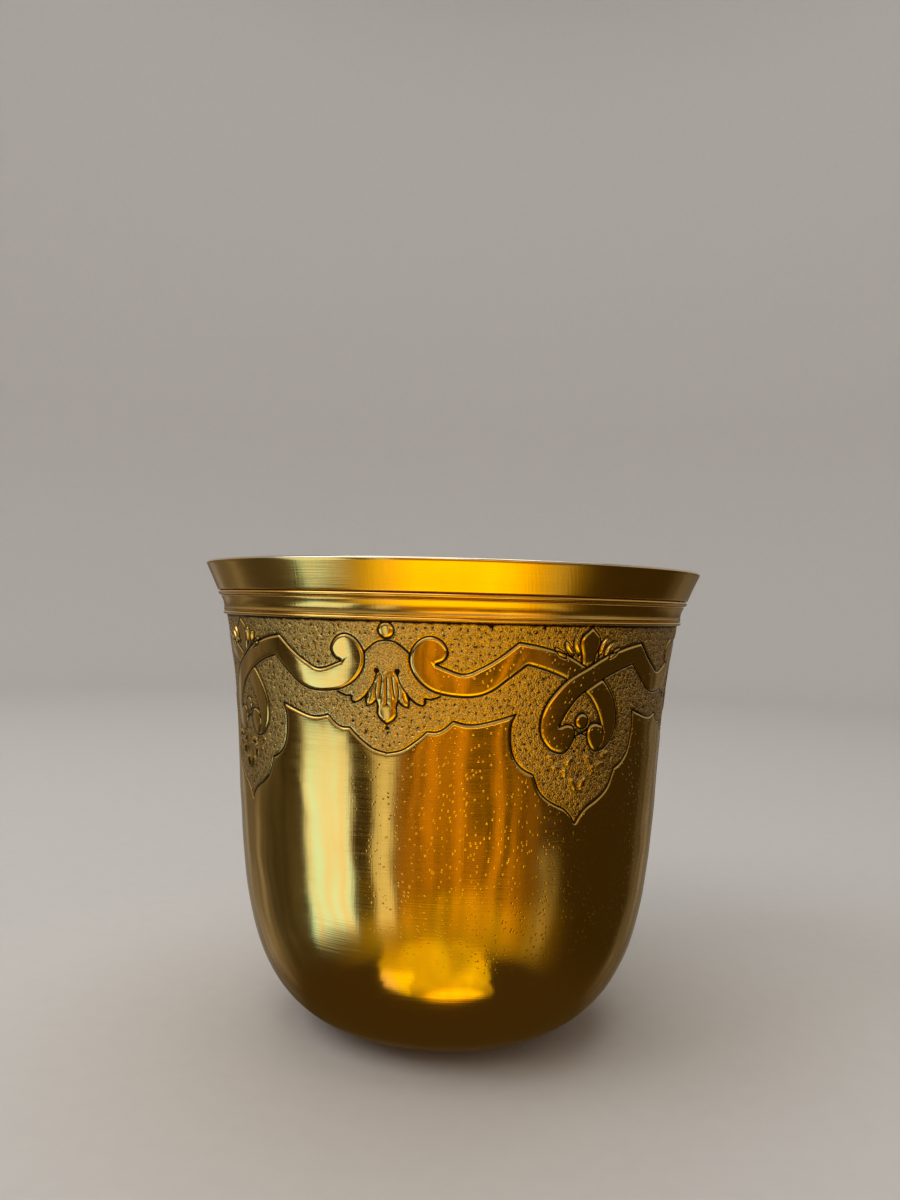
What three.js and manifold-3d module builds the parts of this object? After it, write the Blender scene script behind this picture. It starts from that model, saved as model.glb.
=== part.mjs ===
// Silver-gilt beaker: a raised body with a chased frieze, and mouldings applied round its lip.
// Millimetres, +Z up. The origin is the centre of the flat that the beaker stands on, and one of
// the frieze's shells faces -Y.
import * as THREE from 'three';
import { mergeVertices } from 'three/addons/utils/BufferGeometryUtils.js';
import { TessellateModifier } from 'three/addons/modifiers/TessellateModifier.js';
import Module from 'manifold-3d';

const wasm = await Module();
wasm.setup();

// Raised body
const HEIGHT = 72.4;
const FOOT_DIAMETER = 22; // the flat underneath
const BELLY_DIAMETER = 65.2; // where the round bottom turns into the wall
const BELLY_HEIGHT = 24.6;
const NECK_DIAMETER = 73.2; // the wall just below the mouldings
const WALL = 0.7; // thickness of the sheet

// Curves of the body: the radius gained per millimetre of height, and how far a curve holds the
// direction it starts in, as a share of its run
const BELLY_SLOPE = 0.12;
const NECK_SLOPE = 0.209;
const FOOT_HOLD = 0.62;
const BOWL_HOLD = 0.68;
const WALL_HOLD = 0.33;

// Flared lip
const RIM_DIAMETER = 80;
const LIP_FOOT_DIAMETER = 76.2; // outside of the band at its lower edge
const LIP_HEIGHT = 4.4;
const LIP_THICKNESS = 0.75; // measured outwards from the body
const LIP_ROUNDING = 0.3; // outer corner of the rim

// Mouldings under the lip: how tall each is, and how far it stands out from the wall
const UPPER_THREAD_HEIGHT = 0.8;
const UPPER_THREAD_RELIEF = 0.75;
const CAVETTO_HEIGHT = 2.3;
const CAVETTO_TOP_RELIEF = 0.5;
const CAVETTO_FOOT_RELIEF = 0.35;
const CAVETTO_HOLLOW = 0.15; // depth of the hollow face
const LOWER_THREAD_HEIGHT = 0.55;
const LOWER_THREAD_RELIEF = 0.45;
const SOLDER_GAP = 0.05; // seam around every applied piece

// Chased frieze
const REPEATS = 4; // shells round the wall, with as many pendants between them
const FRIEZE_DEPTH = 0.25; // how far the ground is sunk around the straps and leaves
const GROUND_TOP = 0.1; // margin between the ground and the neck
const BEAD_RADIUS = 1.05; // round beads over the shells and under the crossings
const CUT_CLEARANCE = 0.3; // how far a cut reaches past the surface it starts from
const SEAM_OVERLAP = 0.03; // between the grounds of neighbouring shells
const PRISM_REACH = 1; // how far the outlines' prisms stand out of the wall, and into it

// Fineness of the faceted surfaces
const LATHE_SEGMENTS = 48;
const BOWL_STEPS = 8;
const WALL_STEPS = 5;
const INNER_BOWL_STEPS = 6;
const INNER_WALL_STEPS = 3;
const THREAD_STEPS = 4;
const CAVETTO_STEPS = 3;
const ROUNDING_STEPS = 2;
const OUTLINE_STEP = 2.2; // spacing of points along the frieze's outlines
const BEAD_SIDES = 8;
const PRISM_FACET = 8; // longest edge on the prisms
const PRISM_SPLITS = 12; // rounds of splitting that bring every edge down to it

// Frieze drawing. A point is [degrees, drop]: degrees round from the middle of a shell, or of a
// pendant, for a frieze of four repeats, and millimetres below the neck. A list holds smooth
// stretches, which meet in the corners of the outline.
const DRAWN_REPEATS = 4;
const HALF_REPEAT = 45;

// Lower edge of the ground, from the middle of a shell to the tip of a pendant
const GROUND_EDGE = [
  [[0, 17.5], [3.3, 17.0], [6.5, 15.7], [8.9, 14.4]],
  [[8.9, 14.4], [11, 14.4], [12.7, 13.9], [14.5, 12.9]],
  [[14.5, 12.9], [17.5, 13.3], [20.5, 13.2], [25, 12.5], [28.2, 11.9]],
  [[28.2, 11.9], [27.4, 13.1], [27.2, 14.8], [27.7, 16.8], [28.8, 18.2], [30.7, 19.3], [33.1, 20]],
  [[33.1, 20], [34.6, 22.1], [36.5, 23.3], [39, 24.2], [41.5, 24.9], [43.5, 25.9], [45, 27.1]],
];

// Strap that leaves the volute beside a shell, crosses its mirror image over the pendant and curls
const STRAP = [
  [[10.4, 5.5], [16.2, 6.7], [20, 5.9], [24, 4.4], [28, 2.4]],
  [
    [28, 2.4], [32, 2.8], [36, 3.4], [40, 4.2], [44.5, 5.6], [49.7, 7.3], [53.5, 9.6], [55.3, 11.6],
    [55.8, 13.5], [55.2, 15.1], [53.2, 16.6], [51, 17.2], [49.2, 17.2], [47.7, 16.3], [46.8, 14.9],
    [47.4, 13.7], [49.2, 13.4], [51.2, 13.8],
  ],
  [[51.2, 13.8], [49.5, 11.8], [47, 9.9], [44, 8.6], [40, 7.3], [35, 6.1], [30.2, 5.3]],
  [
    [30.2, 5.3], [26, 7.3], [23, 8.7], [20, 9.5], [16.5, 9.7], [12, 9.4], [9, 8.7], [6.5, 7.4],
    [5.1, 5.7], [5.3, 3.9], [6.9, 2.5], [9.2, 1.9], [11.6, 2.4], [13, 3.8], [12.2, 5], [10.4, 5.5],
  ],
];

// Right halves of the leaf work: the shell between two volutes, the palmette over the crossing and
// the sprig that hangs in the pendant
const SHELL = [
  [[0, 2.5], [3.2, 3], [5.4, 4.2]],
  [[5.4, 4.2], [6, 6.6], [7.6, 8], [9.5, 8.9], [11.5, 9.8]],
  [[11.5, 9.8], [9.9, 10], [8.3, 10.6]],
  [[8.3, 10.6], [7.4, 10.6], [6.6, 11.3]],
  [[6.6, 11.3], [4.9, 10.6], [3.2, 11.5]],
  [[3.2, 11.5], [2.2, 11], [1.7, 12.3], [0, 13.7]],
];
const PALMETTE = [
  [[0, 0.3], [1.5, 0.9], [2.3, 1.6], [2.1, 2.4]],
  [[2.1, 2.4], [2.7, 2.1], [3.7, 1.8]],
  [[3.7, 1.8], [4.3, 2.4], [5.5, 2.1]],
  [[5.5, 2.1], [6.3, 2.8], [7.7, 2.7]],
  [[7.7, 2.7], [6.4, 3.7], [4, 4.6], [0, 5.9]],
];
const SPRIG = [
  [[0, 15], [1.4, 15.4], [2.4, 16.8]],
  [[2.4, 16.8], [5, 17.8], [8.4, 17.8]],
  [[8.4, 17.8], [7.1, 18.4], [6.4, 19.2]],
  [[6.4, 19.2], [5.1, 19], [3.9, 20]],
  [[3.9, 20], [2.6, 19.8], [1.4, 20.8], [0, 22.1]],
];

// Middles of the beads, measured as the leaf work is
const SHELL_BEAD = [0, 1.25];
const PENDANT_BEAD = [0, 13];

// Heights and radii that follow from the sizes above
const rimRadius = RIM_DIAMETER / 2;
const lipBase = HEIGHT - LIP_HEIGHT;
const upperThreadBase = lipBase - SOLDER_GAP - UPPER_THREAD_HEIGHT;
const cavettoBase = upperThreadBase - SOLDER_GAP - CAVETTO_HEIGHT;
const lowerThreadBase = cavettoBase - SOLDER_GAP - LOWER_THREAD_HEIGHT;
const neckHeight = lowerThreadBase - SOLDER_GAP;
const lipBacking = LIP_THICKNESS + SOLDER_GAP;

const foot = new THREE.Vector2(FOOT_DIAMETER / 2, 0);
const belly = new THREE.Vector2(BELLY_DIAMETER / 2, BELLY_HEIGHT);
const neck = new THREE.Vector2(NECK_DIAMETER / 2, neckHeight);
const lipSeat = new THREE.Vector2(LIP_FOOT_DIAMETER / 2 - lipBacking, lipBase);
const rimSeat = new THREE.Vector2(rimRadius - lipBacking, HEIGHT);

const bowlHold = BOWL_HOLD * belly.y;
const wallHold = WALL_HOLD * (neck.y - belly.y);
const bowlCurve = new THREE.CubicBezierCurve(
  foot,
  new THREE.Vector2(foot.x + FOOT_HOLD * (belly.x - foot.x), foot.y),
  new THREE.Vector2(belly.x - BELLY_SLOPE * bowlHold, belly.y - bowlHold),
  belly,
);
const wallCurve = new THREE.CubicBezierCurve(
  belly,
  new THREE.Vector2(belly.x + BELLY_SLOPE * wallHold, belly.y + wallHold),
  new THREE.Vector2(neck.x - NECK_SLOPE * wallHold, neck.y - wallHold),
  neck,
);

// Outside of the body from its foot to the rim, as points of radius and height
const outsidePoints = [
  ...bowlCurve.getPoints(BOWL_STEPS),
  ...wallCurve.getPoints(WALL_STEPS).slice(1),
  lipSeat,
  rimSeat,
];

function wallRadius(height) {
  const found = outsidePoints.findIndex((point) => point.y >= height);
  const upper = Math.max(found === -1 ? outsidePoints.length - 1 : found, 1);
  const below = outsidePoints[upper - 1];
  const above = outsidePoints[upper];
  return below.x + ((above.x - below.x) * (height - below.y)) / (above.y - below.y);
}

// Point of a curve set in from the outside by the thickness of the sheet
function insideOf(curve, share) {
  const point = curve.getPoint(share);
  const tangent = curve.getTangent(share);
  return new THREE.Vector2(point.x - WALL * tangent.y, point.y + WALL * tangent.x);
}

function insidePoints() {
  const points = [new THREE.Vector2(0, WALL)];
  for (let step = 0; step <= INNER_BOWL_STEPS; step += 1) {
    points.push(insideOf(bowlCurve, step / INNER_BOWL_STEPS));
  }
  for (let step = 1; step <= INNER_WALL_STEPS; step += 1) {
    points.push(insideOf(wallCurve, step / INNER_WALL_STEPS));
  }
  points.push(new THREE.Vector2(lipSeat.x - WALL, lipSeat.y));
  points.push(new THREE.Vector2(rimSeat.x - WALL, rimSeat.y));
  return points;
}

// Solid of revolution about Z from a closed outline of radius and height
function turned(outline) {
  const geometry = new THREE.LatheGeometry(outline, LATHE_SEGMENTS);
  geometry.rotateX(Math.PI / 2);
  return geometry;
}

// Ring soldered to the wall: outer(share) gives how far it stands out at each share of its height
function appliedRing(base, height, shares, outer) {
  const seat = (share) => wallRadius(base + share * height) + SOLDER_GAP;
  const outline = shares.map(
    (share) => new THREE.Vector2(seat(share) + outer(share), base + share * height),
  );
  outline.push(new THREE.Vector2(seat(1), base + height));
  outline.push(new THREE.Vector2(seat(0), base));
  outline.push(outline[0].clone());
  return turned(outline);
}

function evenShares(steps) {
  return Array.from({ length: steps + 1 }, (_, step) => step / steps);
}

// Half-round wire. Its edges stop just short of the wall, so that the seam has a face
function threadRing(base, height, relief) {
  const edge = SOLDER_GAP / relief;
  const shares = evenShares(THREAD_STEPS).map((share) => (1 - Math.cos(Math.PI * share)) / 2);
  const bulge = (share) => Math.max(2 * Math.sqrt(share * (1 - share)), edge);
  return appliedRing(base, height, shares, (share) => relief * bulge(share));
}

function cavettoRing() {
  const hollow = (share) => CAVETTO_HOLLOW * Math.sin(Math.PI * share);
  const relief = (share) => THREE.MathUtils.lerp(CAVETTO_FOOT_RELIEF, CAVETTO_TOP_RELIEF, share);
  return appliedRing(
    cavettoBase, CAVETTO_HEIGHT, evenShares(CAVETTO_STEPS), (share) => relief(share) - hollow(share),
  );
}

// Band outside the flare of the body, with its outer corner rounded at the widest point
function lipRing() {
  const outline = [
    new THREE.Vector2(lipSeat.x + SOLDER_GAP, lipBase),
    new THREE.Vector2(LIP_FOOT_DIAMETER / 2, lipBase),
  ];
  for (const share of evenShares(ROUNDING_STEPS)) {
    const turn = (Math.PI / 2) * share;
    const inset = LIP_ROUNDING * (1 - Math.cos(turn));
    const drop = LIP_ROUNDING * (1 - Math.sin(turn));
    outline.push(new THREE.Vector2(rimRadius - inset, HEIGHT - drop));
  }
  outline.push(new THREE.Vector2(rimSeat.x + SOLDER_GAP, HEIGHT));
  outline.push(outline[0].clone());
  return turned(outline);
}

function toSolid(geometry) {
  const bare = geometry.clone();
  bare.deleteAttribute('normal');
  bare.deleteAttribute('uv');
  const welded = mergeVertices(bare);
  const corners = welded.index.array;
  const triVerts = [];
  for (let first = 0; first < corners.length; first += 3) {
    const [a, b, c] = corners.slice(first, first + 3);
    if (a !== b && b !== c && c !== a) triVerts.push(a, b, c);
  }
  const mesh = new wasm.Mesh({
    numProp: 3,
    vertProperties: welded.attributes.position.array,
    triVerts: Uint32Array.from(triVerts),
  });
  return new wasm.Manifold(mesh);
}

function fromSolid(solid) {
  const mesh = solid.getMesh();
  const geometry = new THREE.BufferGeometry();
  geometry.setAttribute('position', new THREE.BufferAttribute(mesh.vertProperties, 3));
  geometry.setIndex(new THREE.BufferAttribute(mesh.triVerts, 1));
  geometry.computeVertexNormals();
  return geometry;
}

// Flat drawing of the frieze: x runs round the wall at the neck, y is the height
const millimetresPerDegree = (neck.x * Math.PI) / 180;
const degreeScale = DRAWN_REPEATS / REPEATS;

function onDrawing([degrees, drop]) {
  return new THREE.Vector2(degrees * degreeScale * millimetresPerDegree, neckHeight - drop);
}

// Points along the smooth stretches of an outline, without the last corner
function outlinePoints(stretches) {
  return stretches.flatMap((stretch) => {
    const curve = new THREE.SplineCurve(stretch.map(onDrawing));
    const steps = Math.max(Math.round(curve.getLength() / OUTLINE_STEP), 1);
    return curve.getSpacedPoints(steps).slice(0, -1);
  });
}

function flipped(point) {
  return new THREE.Vector2(-point.x, point.y);
}

// Whole outline from its right half, which starts and ends on the axis of symmetry
function mirrored(stretches) {
  const right = outlinePoints(stretches);
  const tip = onDrawing(stretches.at(-1).at(-1));
  const left = right.slice(1).reverse().map(flipped);
  return [...right, tip, ...left];
}

// Prism that stands through the wall, with an outline wrapped round it
function wrapped(points, centreDegrees) {
  const shape = new THREE.Shape(points);
  const flat = new THREE.ExtrudeGeometry(shape, { depth: 2 * PRISM_REACH, bevelEnabled: false });
  const prism = new TessellateModifier(PRISM_FACET, PRISM_SPLITS).modify(flat);
  const position = prism.attributes.position;
  const centre = THREE.MathUtils.degToRad(centreDegrees * degreeScale);
  for (let index = 0; index < position.count; index += 1) {
    const height = position.getY(index);
    const angle = centre + position.getX(index) / neck.x;
    const radius = wallRadius(height) + position.getZ(index) - PRISM_REACH;
    position.setXYZ(index, radius * Math.sin(angle), -radius * Math.cos(angle), height);
  }
  return toSolid(prism);
}

// Hoop as deep as the ground is sunk, from below the pendants' tips to just under the neck
function friezeHoop() {
  const bottom = onDrawing(GROUND_EDGE.at(-1).at(-1)).y - CUT_CLEARANCE;
  const top = neckHeight - GROUND_TOP;
  const between = outsidePoints.map((point) => point.y).filter((y) => y > bottom && y < top);
  const heights = [bottom, ...between, top];
  const face = (offset) => heights.map((y) => new THREE.Vector2(wallRadius(y) + offset, y));
  const outline = [...face(CUT_CLEARANCE), ...face(-FRIEZE_DEPTH).reverse()];
  return toSolid(turned([...outline, outline[0].clone()]));
}

// Ground round one shell, out to the axes of the pendants beside it and up past the neck
function groundPoints() {
  const rightEdge = outlinePoints(GROUND_EDGE);
  const leftEdge = rightEdge.slice(1).reverse().map(flipped);
  const tip = onDrawing(GROUND_EDGE.at(-1).at(-1));
  const side = tip.x + SEAM_OVERLAP;
  const top = neckHeight + CUT_CLEARANCE;
  return [
    ...leftEdge,
    ...rightEdge,
    new THREE.Vector2(side, tip.y),
    new THREE.Vector2(side, top),
    new THREE.Vector2(-side, top),
    new THREE.Vector2(-side, tip.y),
  ];
}

function beadPoints(middle) {
  const centre = onDrawing(middle);
  return evenShares(BEAD_SIDES).slice(0, -1).map((share) => {
    const turn = 2 * Math.PI * share;
    const offset = new THREE.Vector2(Math.cos(turn), Math.sin(turn)).multiplyScalar(BEAD_RADIUS);
    return offset.add(centre);
  });
}

// What the chasing takes from the body: the ground, less the straps, leaves and beads left standing
function friezeCut() {
  const strap = outlinePoints(STRAP);
  const mirrorStrap = strap.map(flipped).reverse();
  const aboutShell = [strap, mirrorStrap, mirrored(SHELL), beadPoints(SHELL_BEAD)];
  const aboutPendant = [mirrored(PALMETTE), mirrored(SPRIG), beadPoints(PENDANT_BEAD)];
  const grounds = [];
  const reliefs = [];
  for (let repeat = 0; repeat < REPEATS; repeat += 1) {
    const shell = 2 * HALF_REPEAT * repeat;
    grounds.push(wrapped(groundPoints(), shell));
    reliefs.push(...aboutShell.map((points) => wrapped(points, shell)));
    reliefs.push(...aboutPendant.map((points) => wrapped(points, shell + HALF_REPEAT)));
  }
  const join = (solids) => solids.reduce((whole, solid) => whole.add(solid));
  return friezeHoop().intersect(join(grounds)).subtract(join(reliefs));
}

function raisedBody() {
  const outline = [new THREE.Vector2(0, 0), ...outsidePoints, ...insidePoints().reverse()];
  return fromSolid(toSolid(turned(outline)).subtract(friezeCut()));
}

// Gilding: polished on the body and the mouldings, a little brighter where the lip is handled
const gilding = { metalness: 1, roughness: 0.22 };
const bodyGilding = new THREE.MeshStandardMaterial({ ...gilding, color: 0xd9a53f });
const mouldingGilding = new THREE.MeshStandardMaterial({ ...gilding, color: 0xe0ae4a });
const lipGilding = new THREE.MeshStandardMaterial({ ...gilding, color: 0xe6b856, roughness: 0.18 });

function named(name, geometry, material) {
  const mesh = new THREE.Mesh(geometry, material);
  mesh.name = name;
  return mesh;
}

const beaker = new THREE.Group();
beaker.name = 'beaker';
beaker.add(
  named('raised_body', raisedBody(), bodyGilding),
  named(
    'lower_thread',
    threadRing(lowerThreadBase, LOWER_THREAD_HEIGHT, LOWER_THREAD_RELIEF),
    mouldingGilding,
  ),
  named('cavetto_band', cavettoRing(), mouldingGilding),
  named(
    'upper_thread',
    threadRing(upperThreadBase, UPPER_THREAD_HEIGHT, UPPER_THREAD_RELIEF),
    mouldingGilding,
  ),
  named('flared_lip', lipRing(), lipGilding),
);

export default beaker;
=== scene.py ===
"""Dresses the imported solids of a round-bottomed silver-gilt beaker.

The body is raised from one sheet and chased with a frieze of shells, straps and pendants on a
matted ground. Two threads, a hollow band and a flared lip are soldered round its mouth.
"""

import math
from functools import partial
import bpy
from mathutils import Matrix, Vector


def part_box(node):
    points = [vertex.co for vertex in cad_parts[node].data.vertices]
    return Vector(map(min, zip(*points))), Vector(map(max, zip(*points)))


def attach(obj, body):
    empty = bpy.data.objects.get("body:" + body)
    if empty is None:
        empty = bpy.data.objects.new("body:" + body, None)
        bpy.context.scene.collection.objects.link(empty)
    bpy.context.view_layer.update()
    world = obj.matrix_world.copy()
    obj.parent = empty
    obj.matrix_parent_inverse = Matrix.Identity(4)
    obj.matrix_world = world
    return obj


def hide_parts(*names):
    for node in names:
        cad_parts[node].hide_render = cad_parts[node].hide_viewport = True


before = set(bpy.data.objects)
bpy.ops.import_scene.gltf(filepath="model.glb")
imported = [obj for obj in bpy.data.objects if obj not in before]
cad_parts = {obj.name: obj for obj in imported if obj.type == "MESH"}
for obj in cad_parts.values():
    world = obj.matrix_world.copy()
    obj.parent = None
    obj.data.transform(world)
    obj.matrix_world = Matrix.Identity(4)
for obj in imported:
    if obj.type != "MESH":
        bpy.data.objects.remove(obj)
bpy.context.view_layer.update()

from types import SimpleNamespace

import bpy
import numpy as np
from bpy.props import FloatProperty, FloatVectorProperty, PointerProperty
from bpy.types import Operator, Panel, PropertyGroup
from mathutils import Matrix, Vector, geometry, kdtree

bl_info = {
    "name": "Chased silver-gilt beaker",
    "version": (1, 0, 0),
    "blender": (4, 5, 0),
    "location": "View3D > Sidebar > Beaker",
    "description": "Raises, chases and gilds a round-bottomed beaker, and sets up its studio",
    "category": "Add Mesh",
}

MM = 0.001
IMAGE_LONG_SIDE = 1200

# The frieze is drawn once and repeated round the wall. Its points are degrees to one side of a
# motif's middle, and millimetres down from the neck. Halves are mirrored across that middle.
REPEATS = 4
REPEAT = 360 / REPEATS
PENDANT = REPEAT / 2
GROUND_EDGE = [
    [[0, 17.5], [3.3, 17.0], [6.5, 15.7], [8.9, 14.4]],
    [[8.9, 14.4], [11, 14.4], [12.7, 13.9], [14.5, 12.9]],
    [[14.5, 12.9], [17.5, 13.3], [20.5, 13.2], [25, 12.5], [28.2, 11.9]],
    [[28.2, 11.9], [27.4, 13.1], [27.2, 14.8], [27.7, 16.8], [28.8, 18.2], [30.7, 19.3], [33.1, 20]],
    [[33.1, 20], [34.6, 22.1], [36.5, 23.3], [39, 24.2], [41.5, 24.9], [43.5, 25.9], [45, 27.1]],
]
# A strap leaves the shell in a volute, turns down at a corner and ends in a curl by the pendant.
STRAP = [
    [[10.4, 5.5], [16.2, 6.7], [20, 5.9], [24, 4.4], [28, 2.4]],
    [
        [28, 2.4], [32, 2.8], [36, 3.4], [40, 4.2], [44.5, 5.6], [49.7, 7.3], [53.5, 9.6],
        [55.3, 11.6], [55.8, 13.5], [55.2, 15.1], [53.2, 16.6], [51, 17.2], [49.2, 17.2],
        [47.7, 16.3], [46.8, 14.9], [47.4, 13.7], [49.2, 13.4], [51.2, 13.8],
    ],
    [[51.2, 13.8], [49.5, 11.8], [47, 9.9], [44, 8.6], [40, 7.3], [35, 6.1], [30.2, 5.3]],
    [
        [30.2, 5.3], [26, 7.3], [23, 8.7], [20, 9.5], [16.5, 9.7], [12, 9.4], [9, 8.7],
        [6.5, 7.4], [5.1, 5.7], [5.3, 3.9], [6.9, 2.5], [9.2, 1.9], [11.6, 2.4], [13, 3.8],
        [12.2, 5], [10.4, 5.5],
    ],
]
CURL_RING = [[51.3, 13.9], [51.9, 15.0], [51.3, 16.3], [50.0, 17.1]]
HOOD = [[0, 2.55], [1.8, 2.75], [3.4, 3.35], [5.0, 4.2]]
HOOD_BEHIND_STRAP = [[5.0, 4.2], [6.2, 6.6], [8.2, 8.0], [10.2, 8.9], [11.5, 9.75]]
DRAPERY = [
    [[11.5, 9.75], [10.2, 10.05], [9.1, 10.15], [8.3, 10.0]],
    [[8.3, 10.0], [8.4, 10.6], [7.9, 11.05]],
    [[7.9, 11.05], [6.5, 10.75], [5.0, 10.0], [4.3, 9.4]],
    [[4.3, 9.4], [4.9, 10.6], [4.6, 11.35]],
    [[4.6, 11.35], [3.5, 11.1], [2.4, 10.4]],
]
FAN_DRAPERY = DRAPERY[3:]
FAN_HEAD = [[0, 6.5], [1.2, 6.6], [2.1, 7.0], [2.5, 7.6], [3.2, 8.5], [4.3, 9.4]]
TONGUE = [[2.4, 10.4], [2.1, 11.4], [2.2, 12.3], [1.3, 13.1], [0, 13.65]]
SHELL_FOLDS = [
    [[2.3, 6.9], [2.6, 7.6], [3.2, 8.5], [4.3, 9.4]],
    [[2.35, 8.3], [2.6, 9.4], [2.4, 10.4]],
    [[1.1, 7.4], [1.35, 8.8], [1.7, 10.2]],
]
SHELL_RIB = [[0, 7.4], [0, 9], [0, 10.9]]
LEAF = [[0, 0.2], [1.0, 0.8], [2.3, 1.5], [2.7, 2.4], [2.3, 3.3], [1.8, 4.1], [1.6, 5.0]]
# Small raised husks beside the leaf and under the pendant: two ends, and half a width. The first pairs
# are outlined.
OUTLINED_HUSKS = 3
HUSKS = [
    [[2.7, 4.1], [4.3, 1.5], 0.46],
    [[4.2, 4.2], [6.6, 2.1], 0.44],
    [[5.8, 4.5], [9.0, 3.0], 0.4],
    [[9.0, 17.3], [6.5, 18.3], 0.3],
    [[7.9, 18.95], [5.0, 19.3], 0.28],
    [[4.2, 19.0], [3.7, 20.7], 0.3],
    [[1.9, 17.6], [3.8, 19.1], 0.28],
    [[2.2, 20.5], [0.4, 22.7], 0.32],
]
LINKS = [[2.0, 14.05], [0.4, 14.6], [-1.9, 15.1]]
SHELL_BEAD = [0, 1.25]
PENDANT_BEAD = [0, 13.0]
BEAD_RADIUS = 1.05
# Deep holes punched in the shell and beside the pendant: degrees, drop and radius.
HOLES = [[2.3, 6.6, 0.5], [-2.3, 6.6, 0.5], [0, 14.15, 0.42]]
PENDANT_HOLES = [[1.5, 17.1, 0.25], [-1.5, 17.1, 0.25]]


def hex_colour(code):
    """Turns an sRGB hex value to linear red, green and blue, with alpha."""
    shares = [int(code[i : i + 2], 16) / 255 for i in (1, 3, 5)]
    linear = [c / 12.92 if c <= 0.04045 else ((c + 0.055) / 1.055) ** 2.4 for c in shares]
    return (*linear, 1.0)


def length(name, description, default):
    """A length in metres that a user may change."""
    return FloatProperty(
        name=name, description=description, default=default, min=0, precision=5, subtype="DISTANCE"
    )


def colour(name, description, code):
    """A colour that a user may change, written as an sRGB hex value."""
    return FloatVectorProperty(
        name=name, description=description, default=hex_colour(code), size=4, min=0, max=1, subtype="COLOR"
    )


class BeakerSizes(PropertyGroup):
    """The sizes of the raised body and of what is soldered round its mouth."""

    height: length("Height", "From the standing flat to the top of the lip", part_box("flared_lip")[1].z)
    rim_diameter: length("Rim diameter", "Across the widest part of the lip", 2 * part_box("flared_lip")[1].x)
    lip_foot: length("Lip foot", "Height at which the lip begins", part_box("flared_lip")[0].z)
    lip_foot_diameter: length("Lip foot diameter", "Across the lip where it begins", 0.0762)
    lip_thickness: length("Lip thickness", "Thickness of the band that makes the lip", 0.00075)
    lip_rounding: length("Lip rounding", "Radius of the lip's worn upper edge", 0.0003)
    neck: length("Neck", "Height of the wall where the mouldings begin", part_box("lower_thread")[0].z)
    neck_diameter: length("Neck diameter", "Across the wall where the mouldings begin", 0.0732)
    belly: length("Belly", "Height at which the bowl turns into the wall", 0.0246)
    belly_diameter: length("Belly diameter", "Across the body at the belly", 0.0652)
    foot_diameter: length("Foot diameter", "Across the flat that the beaker stands on", 0.022)
    wall: length("Wall", "Thickness of the sheet", 0.0007)
    unevenness: length("Unevenness", "How far the hammered wall strays from true", 0.00006)


class FriezeSizes(PropertyGroup):
    """The sizes of the chaser's lines and of the punched ground."""

    line_width: length("Line width", "Across a chased outline", 0.00046)
    line_depth: length("Line depth", "How deep a chased outline is", 0.00017)
    detail_width: length("Detail width", "Across a line inside a motif", 0.00034)
    detail_depth: length("Detail depth", "How deep a line inside a motif is", 0.00011)
    fine_width: length("Fine width", "Across the line round a wide husk", 0.00024)
    ground_depth: length("Ground depth", "How far the ground is matted down", 0.0001)
    grain_depth: length("Grain depth", "Unevenness that the matting punch leaves", 0.000008)
    dot_spacing: length("Dot spacing", "Between the punched dots of the ground", 0.0011)
    dot_diameter: length("Dot diameter", "Across a punched dot", 0.00032)
    husk_rise: length("Husk rise", "How far a husk stands above the motifs", 0.00024)
    dot_depth: length("Dot depth", "How deep a punched dot is", 0.00012)


class GildingColours(PropertyGroup):
    """The colours of the gilding and of the stage."""

    burnished: colour("Burnished gilding", "Bright gilding rubbed with an agate", "#F4C76C")
    deep: colour("Deep gilding", "Thicker, redder gilding", "#EBB855")
    matted: colour("Matted gilding", "Gilding on the punched ground", "#E9BC68")
    # Tarnish in the lines and dots, which is also painted shade there, at the feet of husks, under the lower
    # thread and between the grains of the ground.
    tarnish_and_painted_shade: colour("Tarnish", "Dark film in the lines and dots", "#2A1C0C")
    silver: colour("Bare silver", "Silver where the gilding is worn through", "#E6E0D2")
    floor: colour("Floor", "Plain paper under and behind the beaker", "#CFCCC8")


class BeakerSettings(PropertyGroup):
    """All that a user would change on the beaker."""

    sizes: PointerProperty(type=BeakerSizes)
    frieze: PointerProperty(type=FriezeSizes)
    colours: PointerProperty(type=GildingColours)


def in_millimetres(group):
    """The sizes of a group as plain numbers in millimetres."""
    return SimpleNamespace(**{name: getattr(group, name) / MM for name in group.__annotations__})


# Shapes, worked in millimetres. A mesh goes to metres as it is made.

SEGMENTS = 192
SECTION_SAMPLES = 200
CURVE_SAMPLES = 24
# How far the bowl keeps level beyond the foot, how far the curves hold their slope from the belly and
# the neck, as shares of their run, and the slopes there.
FOOT_HOLD = 0.62
BELLY_HOLD = 0.68
WALL_HOLD = 0.33
BELLY_SLOPE = 0.12
NECK_SLOPE = 0.209
# Waves that the hammer left: share of the unevenness, waves round the wall, turn for each millimetre
# of height, and phase.
WAVES = (
    (0.9, 2, 0.012, 0.7),
    (0.5, 3, -0.05, 2.1),
    (0.3, 7, 0.21, 0.4),
    (0.26, 11, -0.37, 1.3),
    (0.2, 5, 0.83, 2.9),
    (0.15, 17, 0.55, 0.2),
    (0.12, 13, -0.94, 1.9),
)
# The waves grow to their full size from the standing flat up to this height.
WAVES_FULL = 12


def cubic(points, shares):
    """Points of a cubic curve at the given shares of its run."""
    a, b, c, d = (np.array(point, float) for point in points)
    t = np.asarray(shares, float)[:, None]
    return (1 - t) ** 3 * a + 3 * (1 - t) ** 2 * t * b + 3 * (1 - t) * t**2 * c + t**3 * d


def travelled(line):
    """How far along a line each of its points is."""
    return np.r_[0, np.cumsum(np.hypot(*np.diff(line, axis=0).T))]


def spaced(line, count):
    """Points at even steps along a line."""
    far = travelled(line)
    even = np.linspace(0, far[-1], count)
    return np.column_stack([np.interp(even, far, line[:, i]) for i in (0, 1)])


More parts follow.
